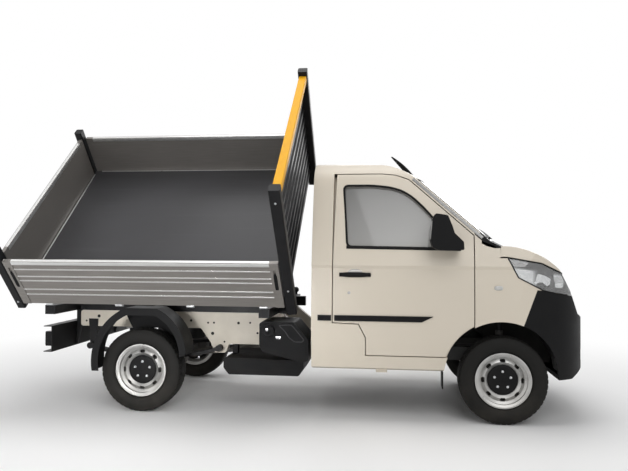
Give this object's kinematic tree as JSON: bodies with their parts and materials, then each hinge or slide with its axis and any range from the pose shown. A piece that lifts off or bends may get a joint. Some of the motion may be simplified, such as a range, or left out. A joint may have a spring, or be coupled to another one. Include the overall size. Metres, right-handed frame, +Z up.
{
  "type": "light three-way tipper truck",
  "caption": "Small flat-nosed tipper truck with a cab and a drop-side bed, shown tipped to its right side.",
  "frame": {"origin": "on the ground under the middle of the rest pose", "axes": "+X forward, +Y to the vehicle's left, +Z up"},
  "size_m": [4.2489, 2.5215, 2.6863],
  "materials": {
    "cab_paint": "clear-coated paint",
    "black_plastic": "moulded, fine grain",
    "glass": "tinted",
    "lamp": "clear moulded lens",
    "tail_lamp": "red lens",
    "frame_paint": "chassis paint",
    "black_steel": "black chassis paint",
    "bed_floor": "dark grey sheet steel paint",
    "board": "extruded, ribbed",
    "hinge": "cast",
    "yellow": "yellow gloss paint",
    "steel_wheel": "silver wheel paint",
    "tyre": "road tread",
    "bare_steel": "machined",
    "cast": "cast",
    "chrome": "chromed rod",
    "seat": "woven seat cloth"
  },
  "bodies": {
    "chassis": {"cab_side_left": "cab_paint", "cab_side_right": "cab_paint", "cab_roof": "cab_paint", "cab_rear_wall": "cab_paint", "front_wings": "cab_paint", "cab_floor": "cab_paint", "cowl": "black_plastic", "grille": "black_plastic", "front_bumper": "black_plastic", "headlamps": "lamp", "lamp_housings": "black_plastic", "arch_liners": "black_plastic", "cab_trim": "black_plastic", "cab_glass": "glass", "dashboard": "black_plastic", "seats": "seat", "frame_rails": "frame_paint", "frame_crossmembers": "frame_paint", "tipper_subframe": "black_steel", "rear_axle": "cast", "leaf_springs": "black_steel", "drive_train": "cast", "front_suspension": "black_steel", "exhaust": "bare_steel", "fuel_tank": "black_plastic", "service_box": "black_plastic", "rear_mudguards": "black_plastic", "underrun_bar": "black_steel", "rear_lamps": "tail_lamp"},
    "bonnet": {"bonnet": "cab_paint"},
    "door_left": {"door_left": "cab_paint", "door_glass_left": "glass", "door_trim_left": "black_plastic"},
    "door_right": {"door_right": "cab_paint", "door_glass_right": "glass", "door_trim_right": "black_plastic"},
    "steering_wheel": {"steering_wheel": "black_plastic"},
    "knuckle_left": {"knuckle_left": "cast"},
    "knuckle_right": {"knuckle_right": "cast"},
    "front_left_wheel": {"wheel_front_left": "steel_wheel", "tyre_front_left": "tyre"},
    "front_right_wheel": {"wheel_front_right": "steel_wheel", "tyre_front_right": "tyre"},
    "rear_left_wheel": {"wheel_rear_left": "steel_wheel", "tyre_rear_left": "tyre"},
    "rear_right_wheel": {"wheel_rear_right": "steel_wheel", "tyre_rear_right": "tyre"},
    "bed": {"bed_floor": "bed_floor", "headboard": "black_steel", "headboard_bar": "yellow", "rear_posts": "black_steel", "board_hinges": "hinge"},
    "board_left": {"side_board_left": "board"},
    "board_right": {"side_board_right": "board"},
    "tail": {"tailboard": "board"},
    "barrel": {"cylinder_barrel": "black_steel"},
    "stage_1": {"cylinder_stage_1": "bare_steel"},
    "stage_2": {"cylinder_stage_2": "bare_steel"},
    "ram": {"cylinder_rod": "chrome"}
  },
  "joints": [
    {"name": "bed_tip", "type": "hinge", "parent": "chassis", "child": "bed", "pos_m": [-1.172, -0.502, 0.831], "axis": [1, 0, 0], "range_deg": [-41.5, 3.5]},
    {"name": "steer_left", "type": "hinge", "parent": "chassis", "child": "knuckle_left", "pos_m": [1.478, 0.795, 0.309], "axis": [0, 0, 1], "range_deg": [-32, 32]},
    {"name": "steer_right", "type": "hinge", "parent": "chassis", "child": "knuckle_right", "pos_m": [1.478, -0.275, 0.309], "axis": [0, 0, 1], "range_deg": [-32, 32]},
    {"name": "steering_wheel_turn", "type": "hinge", "parent": "chassis", "child": "steering_wheel", "pos_m": [0.94, 0.61, 1.118], "axis": [-0.7507, 0, 0.6606], "range_deg": [-480, 480]},
    {"name": "spin_front_left", "type": "hinge", "parent": "knuckle_left", "child": "front_left_wheel", "pos_m": [1.478, 0.92, 0.309], "axis": [0, 1, 0], "continuous": true},
    {"name": "spin_front_right", "type": "hinge", "parent": "knuckle_right", "child": "front_right_wheel", "pos_m": [1.478, -0.4, 0.309], "axis": [0, 1, 0], "continuous": true},
    {"name": "spin_rear_left", "type": "hinge", "parent": "chassis", "child": "rear_left_wheel", "pos_m": [-1.172, 0.92, 0.309], "axis": [0, 1, 0], "continuous": true},
    {"name": "spin_rear_right", "type": "hinge", "parent": "chassis", "child": "rear_right_wheel", "pos_m": [-1.172, -0.4, 0.309], "axis": [0, 1, 0], "continuous": true},
    {"name": "door_left_swing", "type": "hinge", "parent": "chassis", "child": "door_left", "pos_m": [1.264, 1.071, 0.9], "axis": [0, 0, -1], "range_deg": [0, 65]},
    {"name": "door_right_swing", "type": "hinge", "parent": "chassis", "child": "door_right", "pos_m": [1.264, -0.551, 0.9], "axis": [0, 0, 1], "range_deg": [0, 65]},
    {"name": "bonnet_lift", "type": "hinge", "parent": "chassis", "child": "bonnet", "pos_m": [1.408, 0.26, 1.29], "axis": [0, -1, 0], "range_deg": [0, 55]},
    {"name": "board_right_drop", "type": "hinge", "parent": "bed", "child": "board_right", "pos_m": [-1.172, -0.55463, 0.80446], "axis": [-1, 0, 0], "range_deg": [-138, 0]},
    {"name": "board_left_drop", "type": "hinge", "parent": "bed", "child": "board_left", "pos_m": [-1.172, 0.67216, 1.88984], "axis": [-1, 0, 0], "range_deg": [0, 175]},
    {"name": "tailboard_drop", "type": "hinge", "parent": "bed", "child": "tail", "pos_m": [-2.079, 0.05876, 1.34715], "axis": [0, -0.749, -0.6626], "range_deg": [0, 175]},
    {"name": "cylinder_lean", "type": "hinge", "parent": "chassis", "child": "barrel", "pos_m": [-0.972, 0.26, 0.64], "axis": [1, 0, 0], "range_deg": [-17.85, 1.96]},
    {"name": "stage_1_slide", "type": "slide", "parent": "barrel", "child": "stage_1", "axis": [0, -0.2651, 0.9642], "range_m": [-0.17768, 0.01682]},
    {"name": "stage_2_slide", "type": "slide", "parent": "stage_1", "child": "stage_2", "axis": [0, -0.2651, 0.9642], "range_m": [-0.17768, 0.01682]},
    {"name": "stage_3_slide", "type": "slide", "parent": "stage_2", "child": "ram", "axis": [0, -0.2651, 0.9642], "range_m": [-0.17768, 0.01682]}
  ],
  "couplings": [
    {"joint": "steer_right", "follows": "steer_left", "ratio": 1},
    {"joint": "steering_wheel_turn", "follows": "steer_left", "ratio": 15},
    {"joint": "cylinder_lean", "follows": "bed_tip", "ratio": 0.418},
    {"joint": "stage_1_slide", "follows": "bed_tip", "m_per_rad": 0.24255},
    {"joint": "stage_2_slide", "follows": "bed_tip", "m_per_rad": 0.24255},
    {"joint": "stage_3_slide", "follows": "bed_tip", "m_per_rad": 0.24255}
  ]
}
